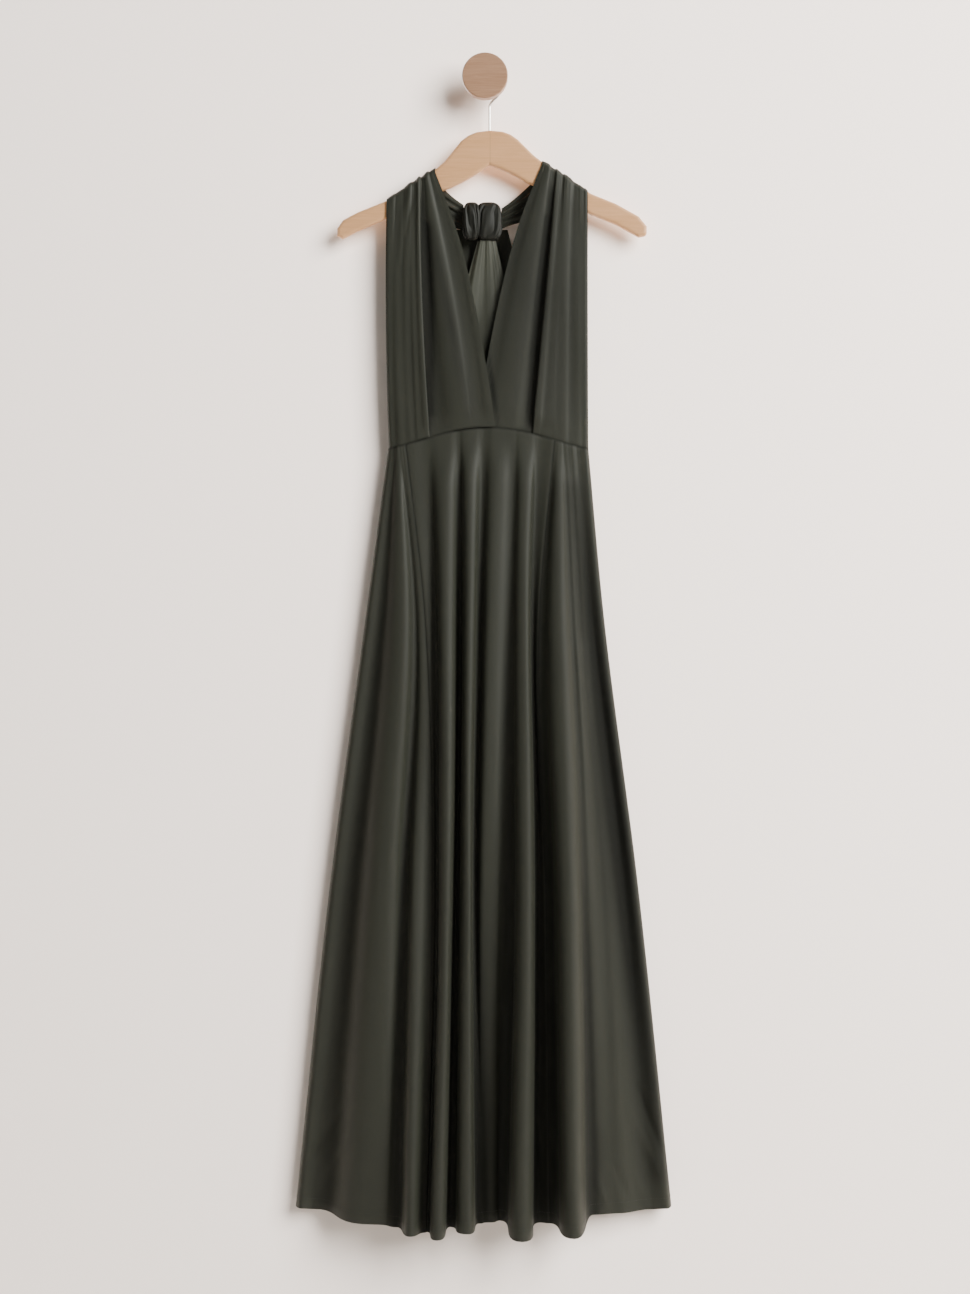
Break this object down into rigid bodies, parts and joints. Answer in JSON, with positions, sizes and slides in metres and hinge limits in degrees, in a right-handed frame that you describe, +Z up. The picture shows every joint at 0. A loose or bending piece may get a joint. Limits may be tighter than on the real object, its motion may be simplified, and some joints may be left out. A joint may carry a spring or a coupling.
{
  "type": "bridesmaid dress on a hanger and wall peg",
  "caption": "Floor-length gathered dress with wide crossed straps tied behind, hung flat on a wooden hanger from a round wall peg.",
  "frame": {"origin": "centre of the wall peg's back face, where it meets the wall", "axes": "+Z up, +Y into the wall, +X to the viewer's right when the front is seen"},
  "size_m": [0.5154, 0.1207, 1.5931],
  "materials": {
    "olive_jersey": "soft satin sheen",
    "hanger_wood": "smooth, pale, lightly varnished",
    "peg_wood": "smooth, matte",
    "wire": "plated wire"
  },
  "bodies": {
    "root": {"wall_peg": "peg_wood", "hanger_body": "hanger_wood", "hanger_hook": "wire", "skirt_front_left": "olive_jersey", "skirt_front_centre": "olive_jersey", "skirt_front_right": "olive_jersey", "skirt_back": "olive_jersey", "back_band": "olive_jersey", "strap_left": "olive_jersey", "strap_right": "olive_jersey", "knot_wrap": "olive_jersey", "knot_lobe": "olive_jersey", "tail_front": "olive_jersey", "tail_back": "olive_jersey"}
  },
  "joints": []
}
